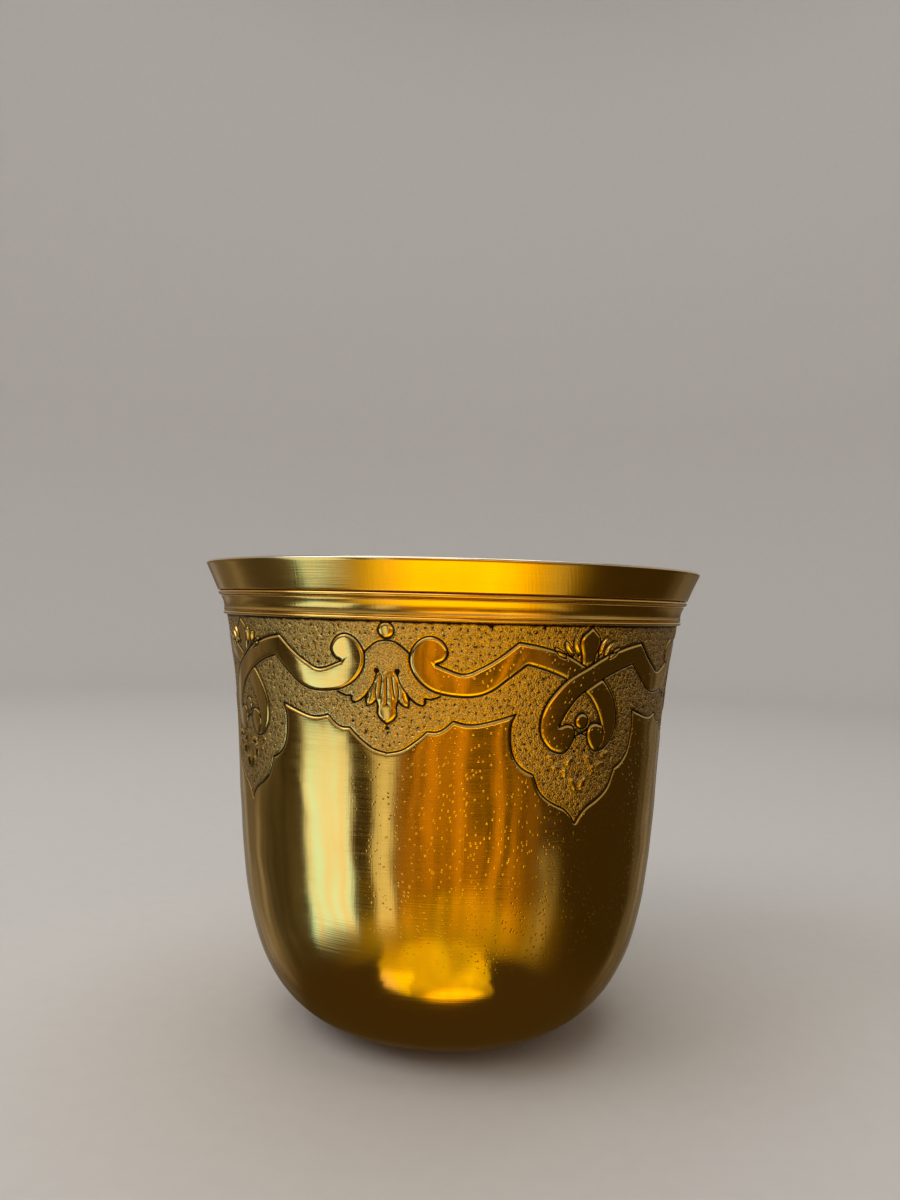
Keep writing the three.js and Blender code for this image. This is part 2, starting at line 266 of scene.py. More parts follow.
def smooth_line(points, step):
    """A smooth line through points, with points of its own at even steps."""
    known = np.array(points, float)
    ends = np.vstack([2 * known[0] - known[1], known, 2 * known[-1] - known[-2]])
    share = np.linspace(0, 1, CURVE_SAMPLES, endpoint=False)[:, None]
    runs = []
    for a, b, c, d in zip(ends, ends[1:], ends[2:], ends[3:]):
        cube = (3 * b - 3 * c + d - a) * share**3
        square = (2 * a - 5 * b + 4 * c - d) * share**2
        runs.append((2 * b + (c - a) * share + square + cube) / 2)
    line = np.vstack([*runs, known[-1:]])
    return spaced(line, max(2, round(travelled(line)[-1] / step) + 1))


def outward(line):
    """Directions of length 1 to the right of a line's run."""
    along = np.gradient(line, axis=0)
    return np.column_stack([along[:, 1], -along[:, 0]]) / np.hypot(*along.T)[:, None]


class BodyShape:
    """The section of the raised body, as radii and heights in millimetres."""

    def __init__(self, sizes):
        foot = sizes.foot_diameter / 2
        belly = sizes.belly_diameter / 2
        neck = sizes.neck_diameter / 2
        rise = sizes.neck - sizes.belly
        self.neck_z = sizes.neck
        self.height = sizes.height
        self.wall = sizes.wall
        self.uneven = sizes.unevenness
        self.bowl = [
            (foot, 0),
            (foot + FOOT_HOLD * (belly - foot), 0),
            (belly - BELLY_SLOPE * BELLY_HOLD * sizes.belly, (1 - BELLY_HOLD) * sizes.belly),
            (belly, sizes.belly),
        ]
        side = [
            (belly, sizes.belly),
            (belly + BELLY_SLOPE * WALL_HOLD * rise, sizes.belly + WALL_HOLD * rise),
            (neck - NECK_SLOPE * WALL_HOLD * rise, sizes.neck - WALL_HOLD * rise),
            (neck, sizes.neck),
        ]
        self.lip_seat = (sizes.lip_foot_diameter / 2 - sizes.lip_thickness, sizes.lip_foot)
        self.rim = (sizes.rim_diameter / 2 - sizes.lip_thickness, sizes.height)
        steps = np.linspace(0, 1, SECTION_SAMPLES)
        self.line = np.vstack([cubic(self.bowl, steps), cubic(side, steps[1:]), [self.lip_seat, self.rim]])

    def radius(self, z):
        """Radius of the outside at a height above the standing flat."""
        return np.interp(z, self.line[:, 1], self.line[:, 0])

    def stray(self, turn, z):
        """How far the hammered wall strays from true, at an angle and a height."""
        waves = sum(size * np.sin(count * turn + lean * z + phase) for size, count, lean, phase in WAVES)
        return self.uneven * waves * np.clip(z / WAVES_FULL, 0, 1)


def swept(shape, section):
    """Points of a section turned round the axis, ring by ring, on the hammered shape."""
    turn = np.arange(SEGMENTS) * 2 * math.pi / SEGMENTS
    rings = []
    for radius, z in section:
        height = np.full(SEGMENTS, z)
        real = radius + shape.stray(turn, height)
        rings.append(np.column_stack([real * np.cos(turn), real * np.sin(turn), height]))
    return np.vstack(rings)


def ring_numbers(start, count, sides=SEGMENTS):
    """The numbers of the points in rings that follow each other."""
    return [list(range(first, first + sides)) for first in range(start, start + count * sides, sides)]


def around(ring):
    """Each number in a ring with the next one."""
    return zip(ring, ring[1:] + ring[:1])


def quads(rings):
    """Faces between each ring of point numbers and the next one."""
    faces = []
    for low, high in zip(rings, rings[1:]):
        faces += [(a, b, d, c) for (a, b), (c, d) in zip(around(low), around(high))]
    return faces


def add_object(name, data):
    """Adds an object to the scene."""
    thing = bpy.data.objects.new(name, data)
    bpy.context.scene.collection.objects.link(thing)
    return thing


def add_mesh(name, points, faces, materials, kinds=None, layers=None):
    """Adds a smooth mesh from points in metres. A layer holds a value for each point."""
    mesh = bpy.data.meshes.new(name)
    mesh.from_pydata(points, [], faces)
    for material in materials:
        mesh.materials.append(material)
    if kinds is not None:
        mesh.polygons.foreach_set("material_index", kinds)
    for layer, values in (layers or {}).items():
        mesh.attributes.new(layer, "FLOAT", "POINT").data.foreach_set("value", values)
    mesh.shade_smooth()
    mesh.validate()
    return add_object(name, mesh)


def fit_piece(piece, node):
    """Puts a piece in the place of its solid."""
    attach(piece, "root")
    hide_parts(node)


# The frieze, drawn flat on one repeat of the wall and then wrapped round it.

MIRROR = np.array([-1, 1])
# A repeat and its two neighbours.
SHIFTS = (-1, 0, 1)
# How far the drawing reaches below the neck and its ground above it, and where a repeat begins, as a
# share of its width.
FRIEZE_DROP = 28.6
GROUND_ABOVE_NECK = 1
REPEAT_START = -0.75
SEED = 12
# Steps along strokes, along the lines of the mesh, over plain wall and over ground.
STROKE_STEP = 0.06
DRAWING_STEP = 0.3
FILL_STEP = 1.6
GROUND_STEP = 0.52
# Every so many points of a stroke go to an outline and to a line of the mesh.
OUTLINE_THINNING = 4
LINE_THINNING = 3
RING_POINTS = 110
HUSK_POINTS = 25
HUSK_RIB = slice(4, 21, 4)
# The power that fills out the swelling of husks and strips.
SWELL = 0.8
# The least distance between points of the mesh, of its lines, and where lines cross.
CLOSEST = 0.09
LINE_CLOSEST = 0.05
CROSSING_CLOSEST = 0.02
CROSSING_ERROR = 1e-4
# How far the neighbours reach into the repeat that is meshed.
HEM = 6.0
# Rows of points beside a line, in widths of it, and rings round a dot, in radii of it.
LINE_ROWS = (0.25, 0.5, 1.15)
ROW_CLEARANCE = 0.85
DOT_RINGS = (0.55, 1.15)
DOT_SIDES = 6
# How loosely dots and points are scattered, as shares of a step, and what they keep clear of.
ROW_HEIGHT = 0.87
DOT_LOOSENESS = 0.28
FILL_LOOSENESS = 0.2
JITTER = 0.012
DOT_OFF_LINE = 0.3
DOT_OFF_HUSK = 0.2
GROUND_OFF_LINE = 0.7
GROUND_OFF_DOT = 0.42
PLAIN_OFF_LINE = 0.8
FILL_OFF_FOOT = 0.4
FILL_OFF_TOP = 0.2
# A line's rolled edges as a share of its depth, and how far it is rubbed smooth, in half widths.
ROLLED_SHARE = 0.25
RUBBED_REACH = 2.2
# The hood's depth as a share of the ground's, and the swelling of tongues and husks.
HOOD_SHARE = 0.4
TONGUE_RISE = 0.03
TONGUE_EASING = 0.9
HUSK_EASING = 0.24
# Painted shade at the foot of a husk and on the wall just under the mouldings, and how steep a dot's sides
# are.
HUSK_SHADE = 0.35
HUSK_SHADE_REACH = 0.16
SEAM_SHADE = 0.1
PUNCH_STEEPNESS = 1.5


def inside(points, outline):
    """Whether each point lies inside a closed outline."""
    x, y = points.T
    found = np.zeros(len(points), bool)
    for (x0, y0), (x1, y1) in zip(outline, np.roll(outline, -1, axis=0)):
        if y0 != y1:
            spans = (y0 > y) != (y1 > y)
            found ^= spans & (x < (x1 - x0) * (y - y0) / (y1 - y0) + x0)
    return found


def eased(share):
    """Rises smoothly from 0 to 1 as a share does."""
    share = np.clip(share, 0, 1)
    return share * share * (3 - 2 * share)


def circle(turn):
    """Points of a circle of radius 1 at the given angles."""
    return np.column_stack([np.cos(turn), np.sin(turn)])


def closed(half):
    """A whole outline from the half on one side of a shell's middle."""
    return np.vstack([half[::OUTLINE_THINNING], half[::-OUTLINE_THINNING] * MIRROR])


class Nearest:
    """Finds how far points are from the nearest of a set of drawn points."""

    def __init__(self, points):
        self.tree = kdtree.KDTree(len(points))
        for i, (x, y) in enumerate(points):
            self.tree.insert((x, y, 0), i)
        self.tree.balance()

    def find(self, points):
        """Distances to the nearest drawn points, and which they are."""
        found = [self.tree.find((x, y, 0)) for x, y in points]
        return np.array([f[2] for f in found]), np.array([f[1] for f in found])

    def clear(self, points, distance):
        """Whether points are further than this from all that is drawn."""
        return self.find(points)[0] > distance


class RepeatPoints:
    """Points of one repeat. The repeat's two ends are one place, and no two points are too close."""

    def __init__(self, start, period):
        self.start = start
        self.period = period
        self.columns = int(period / CLOSEST)
        self.cell = period / self.columns
        self.cells = {}
        self.points = []

    def add(self, x, y, apart=CLOSEST):
        """Adds a point unless one is too close. Returns which point is there, and in which repeat."""
        repeat = math.floor((x - self.start) / self.period)
        x -= repeat * self.period
        column = int((x - self.start) / self.cell)
        row = int(y / self.cell)
        for i in range(-1, 2):
            for j in range(-1, 2):
                for known in self.cells.get(((column + i) % self.columns, row + j), ()):
                    px, py = self.points[known]
                    turns = round((x - px) / self.period)
                    if math.hypot(x - px - turns * self.period, y - py) < apart:
                        return known, repeat + turns
        self.cells.setdefault((column % self.columns, row), []).append(len(self.points))
        self.points.append((x, y))
        return len(self.points) - 1, repeat


class Frieze:
    """One repeat of the frieze, laid flat: its lines, its regions and the mesh between them."""

    def __init__(self, shape, sizes):
        self.sizes = sizes
        self.top = shape.neck_z
        self.foot = shape.neck_z - FRIEZE_DROP
        self.flat_radius = float(shape.radius((self.top + self.foot) / 2))
        self.period = 2 * math.pi * self.flat_radius / REPEATS
        self.start = REPEAT_START * self.period
        self.random = np.random.default_rng(SEED)
        self.draw_outlines()
        self.draw_details()
        self.lines = [(line, sizes.line_width) for line in self.outlines]
        self.lines += [(line, sizes.detail_width) for line in self.details]
        self.lines += [(husk, sizes.fine_width) for husk in self.husks[: 2 * OUTLINED_HUSKS]]
        self.to_line = Nearest(self.repeated([line for line, _ in self.lines]))
        self.to_outline = Nearest(self.repeated(self.outlines))
        self.to_husk = Nearest(self.repeated(self.husks))
        self.punch_dots()

    def flat(self, line, middle=0):
        """Degrees and drops to millimetres across and up the wall."""
        across, drop = np.array(line, float).T
        return np.column_stack([np.radians(across + middle) * self.flat_radius, self.top - drop])

    def stroke(self, line, middle=0):
        """A smooth stroke of the drawing, with close points."""
        return smooth_line(self.flat(line, middle), STROKE_STEP)

    def outline(self, strokes):
        """Strokes joined end to end."""
        return np.vstack([self.stroke(line) for line in strokes])

    def pair(self, line, middle=0):
        """A stroke and its mirror image across a motif's middle."""
        stroke = self.stroke(line, middle)
        return [stroke, stroke * MIRROR + [2 * np.radians(middle) * self.flat_radius, 0]]

    def ring(self, middle, motif):
        """The outline of a bead."""
        return self.flat([middle], motif)[0] + BEAD_RADIUS * circle(np.linspace(0, 2 * math.pi, RING_POINTS))

    def husk_pair(self, start, end, half_width):
        """A pointed husk between two ends, and its mirror image across the pendant's middle."""
        a, b = self.flat([start, end], PENDANT)
        along = b - a
        out = np.array([-along[1], along[0]]) / np.hypot(*along)
        share = np.linspace(0, 1, HUSK_POINTS)[:, None]
        swell = half_width * np.sin(math.pi * share) ** SWELL * out
        rib = a + share * along
        husk = np.vstack([rib + swell, (rib - swell)[::-1]])
        return [husk, husk * MIRROR + [self.period, 0]]

    def draw_outlines(self):
        """Lays out the motifs and the chased outlines round them."""
        strap = self.outline(STRAP)
        over = strap * MIRROR
        edge = self.outline(GROUND_EDGE)
        corner = np.array([[edge[-1, 0], self.top + GROUND_ABOVE_NECK]])
        leaf = self.pair(LEAF, PENDANT)
        thin = OUTLINE_THINNING
        self.straps = [strap[::thin], over[::thin]]
        self.shell = closed(self.outline([HOOD, HOOD_BEHIND_STRAP, *DRAPERY, TONGUE]))
        self.fan = closed(self.outline([FAN_HEAD, *FAN_DRAPERY, TONGUE]))
        self.tongue = closed(self.stroke(TONGUE))
        self.ground = np.vstack([edge[::thin], corner, corner * MIRROR, edge[::-thin] * MIRROR])
        self.leaf = np.vstack([leaf[0][::thin], leaf[1][::-thin]])
        self.beads = [self.ring(SHELL_BEAD, 0), self.ring(PENDANT_BEAD, PENDANT)]
        self.husks = [husk for ends in HUSKS for husk in self.husk_pair(*ends)]
        # The strap that comes from the right passes over, so the other one breaks off there.
        hidden = inside(strap, over + [self.period, 0])
        breaks = np.flatnonzero(np.diff(hidden.astype(int))) + 1
        runs = np.split(strap, breaks)
        under = [run for run, at in zip(runs, [0, *breaks]) if not hidden[at]]
        self.outlines = [over, *under, *self.beads, *leaf]
        for line in (*GROUND_EDGE, HOOD, *DRAPERY, TONGUE):
            self.outlines += self.pair(line)

    def draw_details(self):
        """Lays out the finer lines and the holes inside the motifs."""
        self.details = [self.stroke(SHELL_RIB), self.stroke(CURL_RING)]
        for line in SHELL_FOLDS:
            self.details += self.pair(line)
        self.details += self.pair(LINKS, PENDANT)
        self.holes = []
        for middle, holes in ((0, HOLES), (PENDANT, PENDANT_HOLES)):
            self.holes += [(*self.flat([place], middle)[0], size) for *place, size in holes]

    def repeated(self, lines):
        """Points of this repeat and of its two neighbours."""
        return np.vstack([np.vstack(lines) + [shift * self.period, 0] for shift in SHIFTS])

    def within(self, points, outline):
        """Whether points lie in an outline of this repeat or of a neighbour."""
        return np.any([inside(points, outline + [shift * self.period, 0]) for shift in SHIFTS], axis=0)

    def on_strap(self, points):
        """Whether points lie on a strap."""
        return self.within(points, self.straps[0]) | self.within(points, self.straps[1])

    def on_ground(self, points):
        """Whether points lie on the ground between the motifs."""
        found = self.within(points, self.ground) & ~self.on_strap(points)
        for outline in (self.shell, self.leaf, *self.beads, *self.husks):
            found &= ~self.within(points, outline)
        return found

    def on_hood(self, points):
        """Whether points lie on the shell's hood and drapery, outside its polished fan."""
        found = self.within(points, self.shell) & ~self.on_strap(points)
        return found & ~self.within(points, self.fan)

    def scattered(self, step, loose):
        """Points all over the repeat at about one step from each other."""
        columns = round(self.period / step)
        rows = int((self.top - self.foot) / (step * ROW_HEIGHT))
        across, up = np.meshgrid(np.arange(columns), np.arange(1, rows))
        x = self.start + (across + 0.5 * (up % 2)) * self.period / columns
        y = self.foot + up * (self.top - self.foot) / rows
        grid = np.column_stack([x.ravel(), y.ravel()])
        return grid + self.random.uniform(-loose, loose, grid.shape) * step

    def punch_dots(self):
        """Scatters punched dots over the ground, clear of its lines, and adds the holes."""
        radius = self.sizes.dot_diameter / 2
        dots = self.scattered(self.sizes.dot_spacing, DOT_LOOSENESS)
        clear = self.to_line.clear(dots, radius + DOT_OFF_LINE)
        clear &= self.to_husk.clear(dots, radius + DOT_OFF_HUSK)
        dots = dots[clear & self.on_ground(dots)]
        self.punched = np.vstack([dots, [hole[:2] for hole in self.holes]])
        self.punch_size = np.r_[np.full(len(dots), radius), [hole[2] for hole in self.holes]]
        self.to_punch = Nearest(self.repeated([self.punched]))

    def meshed(self, line):
        """A line of the drawing at the mesh's steps."""
        return smooth_line(line[::LINE_THINNING], DRAWING_STEP)

    def mesh(self):
        """Fills the repeat with triangles. Each corner is a point and the repeat that it is in."""
        points = RepeatPoints(self.start, self.period)
        spread = np.arange(SEGMENTS // REPEATS) * self.period / (SEGMENTS // REPEATS)
        feet = [points.add(self.start + x, self.foot)[0] for x in spread]
        tops = [points.add(self.start + x, self.top)[0] for x in spread]
        edges = []
        for line in [*(line for line, _ in self.lines), *self.husks]:
            corners = [points.add(x, y, LINE_CLOSEST) for x, y in self.meshed(line)]
            edges += [(a, b) for a, b in zip(corners, corners[1:]) if a != b]
        for x, y in self.fill_points():
            points.add(x, y)
        triangles = self.triangles(points, edges)
        return np.array(points.points), triangles, feet, tops

    def fill_points(self):
        """Points beside the lines, round the dots, and over what is left between them."""
        rows = []
        for line, width in self.lines:
            even = self.meshed(line)
            out = outward(even)
            for row in LINE_ROWS:
                for side in (row * width, -row * width):
                    beside = even + side * out
                    rows.append(beside[self.to_line.clear(beside, ROW_CLEARANCE * row * width)])
        rows += [(husk[HUSK_RIB] + husk[::-1][HUSK_RIB]) / 2 for husk in self.husks]
        star = circle(np.arange(DOT_SIDES) * 2 * math.pi / DOT_SIDES)
        for centre, size in zip(self.punched, self.punch_size):
            rows += [centre[None], *(centre + ring * size * star for ring in DOT_RINGS)]
        plain = self.scattered(FILL_STEP, FILL_LOOSENESS)
        ground = self.scattered(GROUND_STEP, FILL_LOOSENESS)
        ground = ground[self.on_ground(ground)]
        clear = self.to_line.clear(ground, GROUND_OFF_LINE) & self.to_punch.clear(ground, GROUND_OFF_DOT)
        rows += [ground[clear], plain[self.to_line.clear(plain, PLAIN_OFF_LINE) & ~self.on_ground(plain)]]
        points = np.vstack(rows)
        points += self.random.uniform(-JITTER, JITTER, points.shape)
        height = points[:, 1]
        return points[(height > self.foot + FILL_OFF_FOOT) & (height < self.top - FILL_OFF_TOP)]

    def triangles(self, points, edges):
        """Triangles between all points, kept once for each place in the repeat."""
        copies = {}
        flat = []
        for shift in SHIFTS:
            for i, (x, y) in enumerate(points.points):
                place = x + shift * self.period
                if self.start - HEM < place < self.start + self.period + HEM:
                    copies[i, shift] = len(flat)
                    flat.append(Vector((place, y)))
        chased = []
        for (a, a_repeat), (b, b_repeat) in edges:
            for shift in SHIFTS:
                ends = copies.get((a, shift)), copies.get((b, shift + b_repeat - a_repeat))
                if None not in ends:
                    chased.append(ends)
        places, _, triangles, sources, *_ = geometry.delaunay_2d_cdt(flat, chased, [], 0, CROSSING_ERROR)
        corners = []
        for place, source in zip(places, sources):
            x, y = flat[source[0]] if source else place
            corners.append(points.add(x, y, CROSSING_CLOSEST))
        kept = []
        for triangle in triangles:
            middle = sum(places[i].x for i in triangle) / 3
            if self.start <= middle < self.start + self.period:
                kept.append([corners[i] for i in triangle])
        return kept

    def relief(self, points):
        """How far points stand out from the wall, and what the tools left there.

        A recess marks a line or dot, which holds tarnish and painted shade, and a husk's foot and the band
        under the mouldings, which hold painted shade. What is rubbed is smooth beside a line.
        """
        sizes = self.sizes
        drawn = np.concatenate([np.full(len(line), i) for i, (line, _) in enumerate(self.lines)])
        width = np.array([width for _, width in self.lines])
        depth = np.where(width == sizes.line_width, sizes.line_depth, sizes.detail_depth)
        distance, sample = self.to_line.find(points)
        line = drawn[sample % len(drawn)]
        half = width[line] / 2
        line_share = np.cos(np.clip(distance / half, 0, 1) * math.pi / 2) ** 2
        rolled = ROLLED_SHARE * np.exp(-((distance / (2 * half)) ** 2))
        rubbed = np.exp(-((distance / (RUBBED_REACH * half)) ** 2))
        height = -depth[line] * (line_share + rolled)
        off_outline = self.to_outline.find(points)[0]
        sunk = eased(off_outline / sizes.line_width)
        ground = self.on_ground(points)
        height -= sizes.ground_depth * sunk * (ground + HOOD_SHARE * self.on_hood(points))
        height += TONGUE_RISE * self.within(points, self.tongue) * eased(off_outline / TONGUE_EASING)
        off_husk = self.to_husk.find(points)[0]
        raised = np.any([self.within(points, husk) for husk in self.husks], axis=0)
        height += sizes.husk_rise * raised * eased(off_husk / HUSK_EASING)
        # Painted shade round the foot of each husk, coloured with the tarnish colour.
        husk_foot_shade = HUSK_SHADE * np.clip(1 - off_husk / HUSK_SHADE_REACH, 0, 1)
        # Painted shade on the wall just under the lower thread.
        shaded_seam = points[:, 1] > self.top - SEAM_SHADE
        distance, sample = self.to_punch.find(points)
        size = self.punch_size[sample % len(self.punch_size)]
        punch_share = eased(PUNCH_STEEPNESS * (1 - distance / size))
        height -= punch_share * sizes.dot_depth * np.sqrt(size / (sizes.dot_diameter / 2))
        grain = sizes.grain_depth * self.random.normal(size=len(points))
        height += ground * sunk * (1 - punch_share) * grain
        recess = np.clip(line_share + punch_share + husk_foot_shade + shaded_seam, 0, 1)
        return height, {"recess": recess, "rubbed": rubbed}


# The body and the mouldings, whose sections are radii and heights.

# Radii of rings on the standing flat, and steps along the bowl, the plain wall and the inside.
FLAT_RINGS = (3.5, 7, 9.5)
BOWL_STEPS = 34
SIDE_STEP = 1.1
INSIDE_STEPS = 56
# How far above the belly and below the frieze the plain wall's rings begin and end.
ABOVE_BELLY = 1
BELOW_FRIEZE = 0.5
# The sheet's upper edge inside the lip is rounded by this share of its thickness.
EDGE_ROUNDING = 0.45
EDGE_STEPS = 5
# How far strips keep inside their solids, so that the waves in the wall stay within them too, and how
# far their backs are let into the wall.
WAVE_MARGIN = 0.1
LET_IN = 0.1
STRIP_STEPS = 15
# How far the hollow band stands off the wall at its foot, how hollow it is, and how its edges are worn.
CAVETTO_FOOT = 0.35
CAVETTO_HOLLOW = 0.3
EDGE_WEAR = 0.12
EDGE_WEAR_REACH = 0.05
FLARE_STEPS = 14
LIP_EDGE_STEPS = 8
# How far the lip keeps inside its solid at its foot and rim, how far it bows in, and its heel's height.
LIP_FOOT_MARGIN = 0.06
RIM_MARGIN = 0.15
LIP_BOW = 0.02
LIP_HEEL = 0.12
# The lip's rounded heel, out from its foot and up.
HEEL = ((-0.16, 0), (-0.05, 0.03))
LIP_BACK = 0.2
# How far below the top the lip's gilding begins to be worn, in metres.
LIP_WEAR = 0.1 * MM
BURNISHED, MATTED, INSIDE = range(3)


def body_section(shape, frieze_foot):
    """The body's section below the frieze, and above it over the rim and down the inside."""
    bowl = cubic(shape.bowl, np.linspace(0, 1, BOWL_STEPS))
    heights = np.arange(shape.bowl[-1][1] + ABOVE_BELLY, frieze_foot - BELOW_FRIEZE, SIDE_STEP)
    side = np.column_stack([shape.radius(heights), heights])
    below = np.vstack([[(radius, 0) for radius in FLAT_RINGS], bowl, side])
    edge = shape.wall * EDGE_ROUNDING
    within = (shape.line - shape.wall * outward(shape.line))[::-1]
    within = within[within[:, 1] < shape.height - edge]
    down = spaced(within, INSIDE_STEPS)
    turn = np.linspace(0, math.pi / 2, EDGE_STEPS)
    rounding = np.column_stack(
        [down[0, 0] + edge * (1 - np.sin(turn)), shape.height - edge * (1 - np.cos(turn))]
    )
    floor = [(radius, shape.wall) for radius in FLAT_RINGS[1::-1]]
    return below, np.vstack([[shape.lip_seat, shape.rim], rounding, down[1:], floor])


def raise_body(settings):
    """The body: bowl, chased wall, rim and inside as one sheet."""
    shape = BodyShape(in_millimetres(settings.sizes))
    frieze = Frieze(shape, in_millimetres(settings.frieze))
    flat, triangles, feet, tops = frieze.mesh()
    relief, marks_and_shade = frieze.relief(flat)
    below, above = body_section(shape, frieze.foot)
    turn = flat[:, 0] / frieze.flat_radius - math.pi / 2
    z = flat[:, 1]
    low_points = np.vstack([[(0, 0, 0)], swept(shape, below)])
    wall_points = []
    for repeat in range(REPEATS):
        angle = turn + repeat * 2 * math.pi / REPEATS
        radius = shape.radius(z) + relief + shape.stray(angle, z)
        wall_points.append(np.column_stack([radius * np.cos(angle), radius * np.sin(angle), z]))
    high_points = np.vstack([swept(shape, above), [(0, 0, shape.wall)]])
    points = np.vstack([low_points, *wall_points, high_points])

    # The wall's lowest and highest points are turned to meet the rings below and above them.
    starts = [len(low_points) + repeat * len(flat) for repeat in range(REPEATS)]
    first = round(turn[feet[0]] / (2 * math.pi) * SEGMENTS)
    foot_ring, top_ring = (
        np.roll([start + i for start in starts for i in ends], first).tolist() for ends in (feet, tops)
    )
    outer = [*ring_numbers(1, len(below)), foot_ring]
    inner = [top_ring, *ring_numbers(len(points) - len(high_points), len(above))]
    bowl_faces = [(0, b, a) for a, b in around(outer[0])] + quads(outer)
    inside_faces = [(a, b, len(points) - 1) for a, b in around(inner[-1])] + quads(inner)
    wall_faces = []
    for repeat in range(REPEATS):
        for corners in triangles:
            wall_faces.append([starts[(repeat + q) % REPEATS] + i for i, q in corners])
    middles = np.array(
        [np.mean([flat[i] + [q * frieze.period, 0] for i, q in corners], axis=0) for corners in triangles]
    )
    matted = frieze.on_ground(middles) | frieze.on_hood(middles)
    kinds = np.r_[
        np.full(len(bowl_faces), BURNISHED),
        np.tile(np.where(matted, MATTED, BURNISHED), REPEATS),
        np.full(len(inside_faces), INSIDE),
    ]
    layers = {}
    for name, values in marks_and_shade.items():
        layers[name] = np.zeros(len(points))
        layers[name][len(low_points) : -len(high_points)] = np.tile(values, REPEATS)
    gildings = [make(settings.colours) for make in (burnished_gilding, matted_gilding, inside_gilding)]
    faces = bowl_faces + wall_faces + inside_faces
    return add_mesh("raised_body_sheet", points * MM, faces, gildings, kinds.tolist(), layers)


def moulding(name, shape, section, gilding):
    """A closed section turned round the wall."""
    rings = ring_numbers(0, len(section))
    return add_mesh(name, swept(shape, section) * MM, quads([*rings, rings[0]]), [gilding])


def let_in(face, wall):
    """The section of a strip: its face, and a back that is let into the wall."""
    return np.vstack([face, [(wall[-1] - LET_IN, face[-1, 1]), (wall[0] - LET_IN, face[0, 1])]])


def thread_section(shape, node):
    """A half-round wire against the wall."""
    low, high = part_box(node)
    turn = np.linspace(0, math.pi, STRIP_STEPS)
    z = (low.z + high.z) / 2 / MM - (high.z - low.z) / 2 / MM * np.cos(turn)
    wall = shape.radius(z)
    proud = high.x / MM - WAVE_MARGIN - wall.mean()
    return let_in(np.column_stack([wall + proud * np.sin(turn) ** SWELL, z]), wall)


def cavetto_section(shape, node):
    """A strip with a hollow face, its edges eased by wear."""
    low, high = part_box(node)
    share = np.linspace(0, 1, STRIP_STEPS)
    z = (low.z + (high.z - low.z) * share) / MM
    wall = shape.radius(z)
    foot = wall[0] + CAVETTO_FOOT
    top = high.x / MM - WAVE_MARGIN
    hollow = CAVETTO_HOLLOW * np.sin(math.pi * share) ** SWELL
    worn = EDGE_WEAR * (np.exp(-share / EDGE_WEAR_REACH) + np.exp(-(1 - share) / EDGE_WEAR_REACH))
    return let_in(np.column_stack([foot + (top - foot) * share - hollow - worn, z]), wall)


def lip_section(shape, sizes):
    """The flared band, with a rounded upper edge flush with the sheet inside it."""
    foot = sizes.lip_foot
    rounding = sizes.lip_rounding
    low = sizes.lip_foot_diameter / 2 - LIP_FOOT_MARGIN
    rim = sizes.rim_diameter / 2 - RIM_MARGIN
    share = np.linspace(0, 1, FLARE_STEPS)
    heights = foot + LIP_HEEL + (shape.height - rounding - foot - LIP_HEEL) * share
    flare = np.column_stack([low + (rim - low) * share - LIP_BOW * np.sin(math.pi * share), heights])
    turn = np.linspace(0, math.pi / 2, LIP_EDGE_STEPS)[1:]
    edge = (rim, shape.height) - rounding * (1 - circle(turn))
    heel = [(shape.lip_seat[0] - LET_IN, foot), *((low + out, foot + up) for out, up in HEEL)]
    back = [shape.rim, (shape.rim[0] - LET_IN, shape.height - LIP_BACK)]
    return np.vstack([heel, flare, edge, back])


# Materials. The shaders are metals; what differs is how each surface was worked.

# A mix node's sockets for colours: its two inputs and its output.
FIRST, SECOND, MIXED = 6, 7, 2


def set_inputs(tree, node, inputs):
    """Gives a node's inputs, by name or in their order, values or links from other nodes."""
    for socket, value in inputs.items() if isinstance(inputs, dict) else enumerate(inputs):
        if isinstance(value, bpy.types.NodeSocket):
            tree.links.new(value, node.inputs[socket])
        else:
            node.inputs[socket].default_value = value


def add_node(tree, kind, inputs, out=0, **settings):
    """Adds a node with its settings and inputs, and returns one of its outputs.

    A map node's inputs are a value, the ends of its range and what they become, 0 and 1 if not given.
    """
    node = tree.nodes.new("ShaderNode" + kind)
    for name, value in settings.items():
        setattr(node, name, value)
    set_inputs(tree, node, inputs)
    return node.outputs[out]


def per_metre(size):
    """Texture scale for a pattern whose features are this many millimetres across."""
    return 1 / (size * MM)


def stretched_noise(add, place, sizes, detail, turned=(0, 0, 0)):
    """Noise whose features have these sizes in millimetres along three axes, which may be turned."""
    scale = [per_metre(size) for size in sizes]
    axes = add("Mapping", {"Vector": place, "Rotation": turned, "Scale": scale})
    return add("TexNoise", {"Vector": axes, "Scale": 1.0, "Detail": detail})


def new_material(name, coordinates="Object"):
    """A new material, what adds its nodes, and the place on its piece that patterns follow."""
    material = bpy.data.materials.new(name)
    material.use_nodes = True
    add = partial(add_node, material.node_tree)
    return material, add, add("TexCoord", [], coordinates)


def connect(owner, name, inputs):
    """Gives inputs to a node that a new material or world has."""
    node = owner.node_tree.nodes[name]
    set_inputs(owner.node_tree, node, inputs)
    return node


def metal(material, base, rough, bump):
    """Makes a material bare metal with this colour, roughness and fine relief."""
    surface = {"Metallic": 1.0, "Base Color": base, "Roughness": rough, "Normal": bump}
    connect(material, "Principled BSDF", surface)
    return material


def gold_tone(add, share, colours):
    """The colour of gilding, which is thicker and redder where the share is large."""
    golds = {0: share, FIRST: colours.burnished, SECOND: colours.deep}
    return add("Mix", golds, MIXED, data_type="RGBA")


